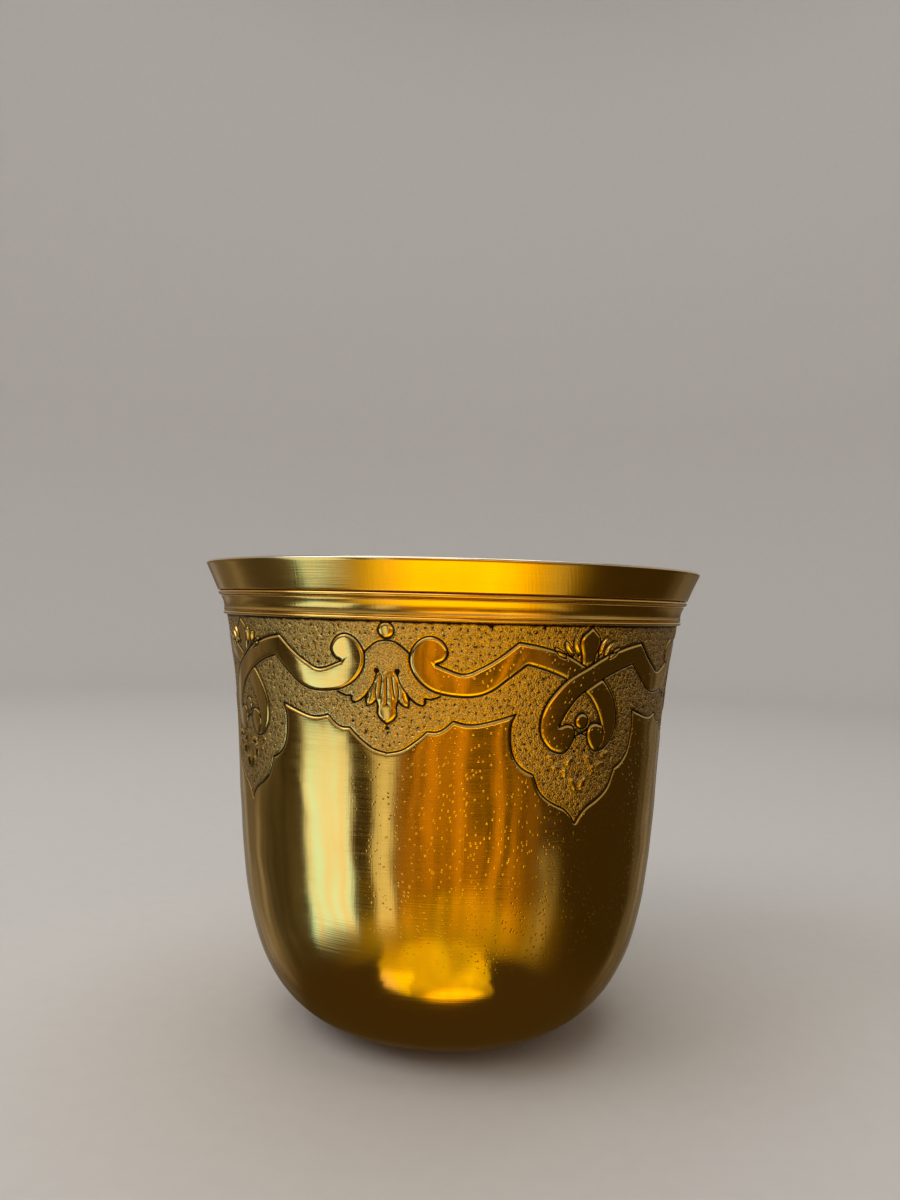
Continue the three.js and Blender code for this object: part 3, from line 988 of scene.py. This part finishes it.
def burnished_gilding(colours):
    """Fire gilding on raised silver, rubbed bright with an agate burnisher."""
    # Reflections are sharp, and waver with the hammer's marks in the sheet. The gilding is thicker and
    # redder in patches. Polishing lines run round the wall and scratches slant over it. Real ones are
    # too fine to show, so they are drawn coarser. Pits above the bowl catch the light, most on one side.
    material, add, place = new_material("burnished gilding")
    clouds = add("TexNoise", {"Vector": place, "Scale": per_metre(12), "Detail": 4.0})
    patches = add("MapRange", [clouds, 0.25, 0.95])
    tone = gold_tone(add, patches, colours)
    recess = add("Attribute", [], "Fac", attribute_name="recess")
    # Tarnish and painted shade in the chased lines and dots, with painted shade at the feet of husks and
    # under the lower thread.
    tarnish_and_shade = add("MapRange", [recess, 0.12, 0.75])
    base = add("Mix", {0: tarnish_and_shade, FIRST: tone, SECOND: colours.tarnish_and_painted_shade}, MIXED, data_type="RGBA")
    lines = stretched_noise(add, place, (9, 9, 0.18), 3.0)
    scratches = stretched_noise(add, place, (0.25, 6, 6), 2.0, (0.5, 0.9, 0.4))
    pores = add("TexVoronoi", {"Vector": place, "Scale": per_metre(0.7)}, "Distance")
    pocked = add("TexNoise", {"Vector": place, "Scale": per_metre(22), "Detail": 2.0})
    height = add("SeparateXYZ", [place], "Z")
    above_bowl = add("MapRange", [height, 15 * MM, 23 * MM])
    aside = add("SeparateXYZ", [place], "X")
    damp_side = add("MapRange", [aside, -6 * MM, 18 * MM, 0.0, above_bowl])
    where = add("MapRange", [pocked, 0.27, 0.5, 0.0, damp_side])
    pits = add("MapRange", [pores, 0.03, 0.24, where, 0.0])
    wear = add("Math", [lines, clouds], operation="MULTIPLY")
    polish = add("MapRange", [wear, 0.1, 0.4, 0.08, 0.17])
    dull = add("Math", [tarnish_and_shade, 0.35, polish], operation="MULTIPLY_ADD")
    marks = add("Math", [scratches, 0.5, lines], operation="MULTIPLY_ADD")
    hollows = {"Strength": 1.0, "Distance": 0.055 * MM, "Height": pits}
    pitted = add("Bump", hollows, invert=True)
    worked = {"Strength": 0.3, "Distance": 0.02 * MM, "Height": marks, "Normal": pitted}
    return metal(material, base, dull, add("Bump", worked))


def matted_gilding(colours):
    """Gilding on a ground that was struck all over with a matting punch."""
    # The punch leaves close grains that scatter the light, so the ground looks brown and soft beside
    # the polished straps. Painted shade darkens it between the grains, and tarnish with painted shade
    # darkens its lines and dots. Real grains are too fine to show, so they are drawn coarser. Beside a
    # chased line the tool has rubbed them smooth.
    material, add, place = new_material("matted gilding")
    grain = add("TexNoise", {"Vector": place, "Scale": per_metre(0.26), "Detail": 2.0})
    cells = add("TexVoronoi", {"Vector": place, "Scale": per_metre(0.24)}, "Distance")
    recess = add("Attribute", [], "Fac", attribute_name="recess")
    rubbed = add("Attribute", [], "Fac", attribute_name="rubbed")
    # Painted shade between the grains.
    shade_between_grains = add("MapRange", [grain, 0.55, 0.3, 0.0, 0.5])
    lined = add("MapRange", [recess, 0.1, 0.55])
    tarnish_and_shade = add("Math", [lined, shade_between_grains], operation="MAXIMUM")
    darkened = {0: tarnish_and_shade, FIRST: colours.matted, SECOND: colours.tarnish_and_painted_shade}
    base = add("Mix", darkened, MIXED, data_type="RGBA")
    scattering = add("MapRange", [grain, 0.0, 1.0, 0.14, 0.4])
    rough = add("MapRange", [rubbed, 0.25, 0.85, scattering, 0.12])
    grainy = add("MapRange", [rubbed, 0.25, 0.85, 1.0, 0.25])
    surface = add("Math", [cells, -0.8, grain], operation="MULTIPLY_ADD")
    bump = add("Bump", {"Strength": grainy, "Distance": 0.1 * MM, "Height": surface})
    return metal(material, base, rough, bump)


def inside_gilding(colours):
    """Thick gilding inside the bowl, left satin by cleaning."""
    # Nothing has burnished it, so it glows rather than mirrors, with faint rings from wiping.
    material, add, place = new_material("inside gilding")
    clouds = add("TexNoise", {"Vector": place, "Scale": per_metre(9), "Detail": 4.0})
    base = gold_tone(add, clouds, colours)
    lines = stretched_noise(add, place, (7, 7, 0.3), 3.0)
    rough = add("MapRange", [lines, 0.0, 1.0, 0.2, 0.38])
    bump = add("Bump", {"Strength": 0.3, "Distance": 0.02 * MM, "Height": lines})
    return metal(material, base, rough, bump)


def drawn_gilding(name, colours, worn_above):
    """Gilding on drawn mouldings, polished along their length and worn above a height."""
    # The drawplate leaves lines along the strip, and use leaves scratches. Real ones are too fine to
    # show, so they are drawn coarser. Handling has rubbed the lip's edge through to silver.
    material, add, place = new_material(name)
    lines = stretched_noise(add, place, (14, 14, 0.12), 3.0)
    clouds = add("TexNoise", {"Vector": place, "Scale": per_metre(6), "Detail": 4.0})
    tone = gold_tone(add, clouds, colours)
    height = add("SeparateXYZ", [place], "Z")
    patchy = add("Math", [clouds, 0.5 * MM, height], operation="MULTIPLY_ADD")
    worn = add("MapRange", [patchy, worn_above, worn_above + 0.2 * MM, 0.0, 0.8])
    base = add("Mix", {0: worn, FIRST: tone, SECOND: colours.silver}, MIXED, data_type="RGBA")
    rough = add("MapRange", [lines, 0.0, 1.0, 0.1, 0.24])
    scratches = stretched_noise(add, place, (0.3, 4, 4), 2.0, (0.2, 0.7, 0.3))
    marks = add("Math", [scratches, 0.8, lines], operation="MULTIPLY_ADD")
    bump = add("Bump", {"Strength": 0.35, "Distance": 0.025 * MM, "Height": marks})
    return metal(material, base, rough, bump)


# Painted reflections of the floor, which only the metal sees: paper close to the foot, then a dark
# glowing disc with an opening towards the camera, where the cards show through. The opening has a
# bright crescent and a bright patch in it. Its angles are a middle and a half in radians to the right
# of the camera, and an edge fades from one length to another.
FOOT_PAPER_EDGE = (12 * MM, 22 * MM)
DISC_MIDDLE = (0, -26 * MM, 0)
DISC_EDGE = (28 * MM, 50 * MM)
DISC_SHADE = "#40331A"
OPENING_ANGLES = (0.1, 0.36)
OPENING_EDGE = (36 * MM, 37.5 * MM)
OPENING_WANDER = 0.3
CRESCENT_MIDDLE = (3 * MM, -29 * MM, 0)
CRESCENT_EDGE = (12.5 * MM, 10.5 * MM)
PATCH_ANGLES = (-0.16, 0.1)
PATCH_EDGE = (47 * MM, 45 * MM)
SWEEP_EDGE = (120 * MM, 40 * MM)


def disc_opening(add, place, reach):
    """How far the disc is open towards the camera, with ragged sides."""
    ragged = add("TexNoise", {"Vector": place, "Scale": per_metre(10), "Detail": 3.0})
    turned = add("VectorMath", [place, (1, -1, 1)], operation="MULTIPLY")
    right = add("SeparateXYZ", [turned], "X")
    near = add("SeparateXYZ", [turned], "Y")
    angle = add("Math", [right, near], operation="ARCTAN2")
    wandering = add("Math", [ragged, OPENING_WANDER, angle], operation="MULTIPLY_ADD")
    sector = add("Math", [wandering, *OPENING_ANGLES], operation="COMPARE")
    inner = add("MapRange", [near, *OPENING_EDGE, 0.0, sector])
    off_crescent = add("VectorMath", [place, CRESCENT_MIDDLE], "Value", operation="DISTANCE")
    crescent = add("MapRange", [off_crescent, *CRESCENT_EDGE])
    left = add("Math", [wandering, *PATCH_ANGLES], operation="COMPARE")
    patch = add("MapRange", [reach, *PATCH_EDGE, 0.0, left])
    bright = add("Math", [crescent, patch], operation="MAXIMUM")
    most = add("MapRange", [bright, 0.0, 1.0, ragged, 1.0])
    return add("Math", [inner, most], operation="MULTIPLY")


def backdrop_paper(colours):
    """Uncoated paper, matt and faintly fibrous."""
    # Metal mirrors the paper's upright sweep, and on the floor the paper close to the foot. Past that
    # the floor shows the metal painted reflections: the dark glowing disc, and past the disc the cards,
    # which lie lower than the paper.
    material, add, place = new_material("backdrop paper")
    fibres = add("TexNoise", {"Vector": place, "Scale": per_metre(3), "Detail": 3.0})
    tone = add("MapRange", [fibres, 0.0, 1.0, 0.97, 1.03])
    toned = {0: 1.0, FIRST: colours.floor, SECOND: tone}
    base = add("Mix", toned, MIXED, data_type="RGBA", blend_type="MULTIPLY")
    matt = {"Base Color": base, "Roughness": 0.9, "Specular IOR Level": 0.2}
    paper = connect(material, "Principled BSDF", matt)
    reach = add("VectorMath", [place], "Value", operation="LENGTH")
    beyond = add("MapRange", [reach, *FOOT_PAPER_EDGE])
    off_disc = add("VectorMath", [place, DISC_MIDDLE], "Value", operation="DISTANCE")
    past_disc = add("MapRange", [off_disc, *DISC_EDGE])
    opening = disc_opening(add, place, reach)
    seen_past = add("Math", [past_disc, opening], operation="MAXIMUM")
    height = add("SeparateXYZ", [place], "Z")
    low = add("MapRange", [height, *SWEEP_EDGE])
    mirrored = add("LightPath", [], "Is Glossy Ray")
    open_floor = add("Math", [beyond, low], operation="MULTIPLY")
    gap = add("Math", [open_floor, mirrored], operation="MULTIPLY")
    clear = add("BsdfTransparent", [])
    # A dark glowing disc that only the metal sees: a painted reflection.
    disc = add("Emission", {"Color": hex_colour(DISC_SHADE)})
    below = add("MixShader", [seen_past, disc, clear])
    mixed = add("MixShader", [gap, paper.outputs[0], below])
    connect(material, "Material Output", {"Surface": mixed})
    return material


# The stage. Angles are degrees to the right of the camera, seen from the beaker.

CAMERA_TURN = 13.79
CAMERA_DISTANCE = 157.4 * MM
CAMERA_ASIDE = -0.4 * MM
CAMERA_HEIGHT = 66.1 * MM
CAMERA_PITCH = 0.46
CAMERA_ROLL = 1.54
CAMERA_CLIP = 0.01
FOCAL_PIXELS = 942.7
SENSOR_WIDTH = 36
STUDIO_SHADE = "#372C12"
# The paper's floor reaches out in rings, then bends up and ends high above the beaker.
COVE_SIDES = 96
COVE_FLOOR = (0.04, 0.1, 0.3)
COVE_REACH = 0.6
COVE_BEND = 0.25
COVE_BEND_STEPS = 13
COVE_HEIGHT = 1.4
# Soft lights: angle, distance, height, width and depth in metres, tint and radiance.
SOFTBOXES = {
    "overhead": (170, 0.15, 1.0, 0.9, 0.9, "#FFFFFF", 1.7),
    "left_soft": (-70, 0.55, 0.5, 0.4, 0.5, "#EEF4FF", 2.2),
    "front_soft": (-25, 0.6, 0.75, 0.7, 0.5, "#FFF6E8", 1.6),
}
SOFTBOX_AIM = (0, 0, 0.04)
# How far the nearest card is and how far apart cards are, and the height that they curve round.
CARD_DISTANCE = 3.0
CARD_GAP = 0.1
CARD_HEIGHT = 0.035
CARD_STEPS = 16
# Degrees across a streak and along it.
STREAK = (5, 24)
# Painted reflections: glowing cards that only the metal mirrors, the nearest first: angle to the right
# of the camera, angle below level, width and height, all in degrees, two tints in streaks, radiance,
# and the shares of the width and of the height over which each side fades.
CARDS = {
    "yellow_low": (9, 61, 60, 14, ("#FFD810", "#FFB810"), 2.0, (0.3, 0.3)),
    "pale_low": (-50, 57, 34, 22, ("#FFE8B0", "#E8C070"), 1.3, (0.2, 0.3)),
    "yellow": (2, 48, 160, 46, ("#FFE800", "#FFD200"), 1.75, (0.4, 0.5)),
    "yellow_level": (14, 4, 78, 14, ("#FFD820", "#FFB818"), 2.1, (0.3, 0.4)),
    "cool_wide": (-66, 23, 34, 31, ("#98CCFF", "#B0ACA4"), 2.5, (0.12, 0.2)),
    "cool_narrow": (-33, 24, 14, 33, ("#FAFBE4", "#D8D8C0"), 0.95, (0.25, 0.25)),
    "amber": (8, 26, 78, 44, ("#FFB41A", "#62500A"), 0.74, (0.2, 0.2)),
    "grey_right": (57, 34, 20, 30, ("#DCC898", "#6A6048"), 0.5, (0.3, 0.2)),
    "olive": (42, 32, 60, 56, ("#D8A030", "#705010"), 0.3, (0.5, 0.2)),
    "grey_left": (-102, 35, 46, 60, ("#FFF4DC", "#B0A080"), 0.085, (0.3, 0.2)),
    "back_strip": (176, 30, 22, 34, ("#FFFFFF", "#E6ECFF"), 0.35, (0.3, 0.2)),
    "back_left": (-140, 22, 84, 50, ("#FFF8EC", "#B0A48C"), 0.28, (0.2, 0.2)),
    "back_right": (152, 22, 64, 50, ("#FFF2DC", "#988868"), 0.22, (0.3, 0.2)),
}


def toward(angle, drop=0):
    """The direction from the beaker at an angle to the right of the camera and one below level."""
    turn = math.radians(CAMERA_TURN + angle)
    fall = math.radians(drop)
    level = math.cos(fall)
    return Vector((math.sin(turn) * level, -math.cos(turn) * level, -math.sin(fall)))


def add_softbox(name, angle, distance, height, width, tall, tint, radiance):
    """A soft light that faces the beaker, as bright as the given radiance."""
    light = bpy.data.lights.new(name, "AREA")
    light.shape = "RECTANGLE"
    light.size = width
    light.size_y = tall
    light.color = hex_colour(tint)[:3]
    light.energy = radiance * math.pi * width * tall
    softbox = add_object(name, light)
    softbox.location = toward(angle) * distance + Vector((0, 0, height))
    aim = Vector(SOFTBOX_AIM) - softbox.location
    softbox.rotation_euler = aim.to_track_quat("-Z", "Y").to_euler()


def card_glow(name, wide, tall, tints, radiance, fades):
    """Painted reflection: light of two tints in upright streaks, which fades towards the sides of a card."""
    material, add, place = new_material(name, "UV")
    shown = 1.0
    for side, edge in zip("XY", fades):
        across = add("SeparateXYZ", [place], side)
        centred = add("Math", [across, 0.5], operation="SUBTRACT")
        aside = add("Math", [centred], operation="ABSOLUTE")
        fading = [aside, 0.5, 0.5 - edge, 0.0, shown]
        shown = add("MapRange", fading, interpolation_type="SMOOTHSTEP")
    upright = add("Mapping", {"Vector": place, "Scale": (wide / STREAK[0], tall / STREAK[1], 1)})
    streaks = add("TexNoise", {"Vector": upright, "Scale": 1.0, "Detail": 3.0})
    share = add("MapRange", [streaks, 0.4, 0.6])
    streaked = {0: share, FIRST: hex_colour(tints[0]), SECOND: hex_colour(tints[1])}
    tint = add("Mix", streaked, MIXED, data_type="RGBA")
    glow = add("Emission", {"Color": tint, "Strength": radiance})
    clear = add("BsdfTransparent", [])
    faded = add("MixShader", [shown, clear, glow])
    connect(material, "Material Output", {"Surface": faded})
    material.node_tree.nodes.remove(material.node_tree.nodes["Principled BSDF"])
    material.cycles.emission_sampling = "NONE"
    return material


def add_card(name, distance, angle, drop, wide, tall, *look):
    """A curved glowing card that only the metal mirrors, a painted reflection, at a place and size in
    degrees.
    """
    steps = [i / CARD_STEPS for i in range(CARD_STEPS + 1)]
    corners = [(across, up) for up in steps for across in steps]
    points = []
    for across, up in corners:
        points.append(distance * toward(angle + (across - 0.5) * wide, drop + (0.5 - up) * tall))
    row = len(steps)
    faces = [(i, i + 1, i + row + 1, i + row) for i in range(row * CARD_STEPS) if (i + 1) % row]
    card = add_mesh(name, points, faces, [card_glow(name, wide, tall, *look)])
    spread = [share for face in faces for i in face for share in corners[i]]
    card.data.uv_layers.new().data.foreach_set("uv", spread)
    card.location.z = CARD_HEIGHT
    card.visible_camera = False
    card.visible_diffuse = False
    card.visible_shadow = False


def add_cove(colours):
    """Paper that lies under the beaker and sweeps up all round it."""
    bend = np.linspace(0, math.pi / 2, COVE_BEND_STEPS)
    reach = [*COVE_FLOOR, *(COVE_REACH + COVE_BEND * np.sin(bend)), COVE_REACH + COVE_BEND]
    rise = [*(0 for _ in COVE_FLOOR), *(COVE_BEND - COVE_BEND * np.cos(bend)), COVE_HEIGHT]
    turn = np.arange(COVE_SIDES) * 2 * math.pi / COVE_SIDES
    points = [(0, 0, 0)]
    for out, up in zip(reach, rise):
        points += [(x, y, up) for x, y in out * circle(turn)]
    rings = ring_numbers(1, len(reach), COVE_SIDES)
    faces = [(0, a, b) for a, b in around(rings[0])] + quads(rings[::-1])
    cove = add_mesh("paper_cove", points, faces, [backdrop_paper(colours)])
    cove.rotation_euler.z = math.radians(CAMERA_TURN)


def add_camera():
    """The camera where the photograph was taken from."""
    lens = bpy.data.cameras.new("camera")
    lens.sensor_width = SENSOR_WIDTH
    lens.lens = FOCAL_PIXELS / IMAGE_LONG_SIDE * SENSOR_WIDTH
    lens.clip_start = CAMERA_CLIP
    camera = add_object("camera", lens)
    place = toward(0) * CAMERA_DISTANCE + toward(90) * CAMERA_ASIDE + Vector((0, 0, CAMERA_HEIGHT))
    upright = Matrix.Rotation(math.radians(CAMERA_TURN), 4, "Z")
    pitch = Matrix.Rotation(math.radians(90 + CAMERA_PITCH), 4, "X")
    roll = Matrix.Rotation(math.radians(CAMERA_ROLL), 4, "Z")
    camera.matrix_world = Matrix.Translation(place) @ upright @ pitch @ roll
    bpy.context.scene.camera = camera


class BEAKER_OT_raise_body(Operator):
    """Raises the bowl and wall from one sheet, and chases the frieze"""

    bl_idname = "beaker.raise_body"
    bl_label = "Raise and chase the body"

    def execute(self, context):
        piece = raise_body(context.scene.beaker)
        fit_piece(piece, "raised_body")
        return {"FINISHED"}


class BEAKER_OT_solder_mouldings(Operator):
    """Solders the two threads and the hollow band round the neck"""

    bl_idname = "beaker.solder_mouldings"
    bl_label = "Solder the mouldings"

    def execute(self, context):
        settings = context.scene.beaker
        shape = BodyShape(in_millimetres(settings.sizes))
        gilding = drawn_gilding("drawn gilding", settings.colours, settings.sizes.height)
        sections = {
            "lower_thread": thread_section,
            "cavetto_band": cavetto_section,
            "upper_thread": thread_section,
        }
        for node, section in sections.items():
            piece = moulding(node + "_strip", shape, section(shape, node), gilding)
            fit_piece(piece, node)
        return {"FINISHED"}


class BEAKER_OT_fit_lip(Operator):
    """Fits the flared band that stiffens the lip"""

    bl_idname = "beaker.fit_lip"
    bl_label = "Fit the lip"

    def execute(self, context):
        settings = context.scene.beaker
        sizes = in_millimetres(settings.sizes)
        shape = BodyShape(sizes)
        gilding = drawn_gilding("worn lip gilding", settings.colours, settings.sizes.height - LIP_WEAR)
        piece = moulding("flared_lip_band", shape, lip_section(shape, sizes), gilding)
        fit_piece(piece, "flared_lip")
        return {"FINISHED"}


class BEAKER_OT_set_stage(Operator):
    """Sets the paper sweep, the soft lights, the mirrored cards and the camera"""

    bl_idname = "beaker.set_stage"
    bl_label = "Set the stage"

    def execute(self, context):
        add_cove(context.scene.beaker.colours)
        for name, softbox in SOFTBOXES.items():
            add_softbox(name, *softbox)
        for rank, (name, card) in enumerate(CARDS.items()):
            add_card(name, CARD_DISTANCE + CARD_GAP * rank, *card)
        world = bpy.data.worlds.new("studio")
        world.use_nodes = True
        connect(world, "Background", {"Color": hex_colour(STUDIO_SHADE), "Strength": 1.0})
        context.scene.world = world
        context.scene.view_settings.view_transform = "Standard"
        add_camera()
        return {"FINISHED"}


class BEAKER_PT_workshop(Panel):
    """Lists the steps of the beaker and what can be changed"""

    bl_idname = "BEAKER_PT_workshop"
    bl_label = "Beaker"
    bl_space_type = "VIEW_3D"
    bl_region_type = "UI"
    bl_category = "Beaker"

    def draw(self, context):
        settings = context.scene.beaker
        for group in (settings.sizes, settings.frieze, settings.colours):
            column = self.layout.column(align=True)
            for name in group.__annotations__:
                column.prop(group, name)
        for step in STEPS:
            self.layout.operator(step.bl_idname)


STEPS = (BEAKER_OT_raise_body, BEAKER_OT_solder_mouldings, BEAKER_OT_fit_lip, BEAKER_OT_set_stage)
CLASSES = (BeakerSizes, FriezeSizes, GildingColours, BeakerSettings, *STEPS, BEAKER_PT_workshop)


def register():
    """Registers the classes and gives each scene its settings."""
    for cls in CLASSES:
        bpy.utils.register_class(cls)
    bpy.types.Scene.beaker = PointerProperty(type=BeakerSettings)


def unregister():
    """Takes back what register made."""
    del bpy.types.Scene.beaker
    for cls in reversed(CLASSES):
        bpy.utils.unregister_class(cls)


def main():
    """Builds the beaker and its stage."""
    register()
    bpy.ops.beaker.raise_body()
    bpy.ops.beaker.solder_mouldings()
    bpy.ops.beaker.fit_lip()
    bpy.ops.beaker.set_stage()


if __name__ == "__main__":
    main()
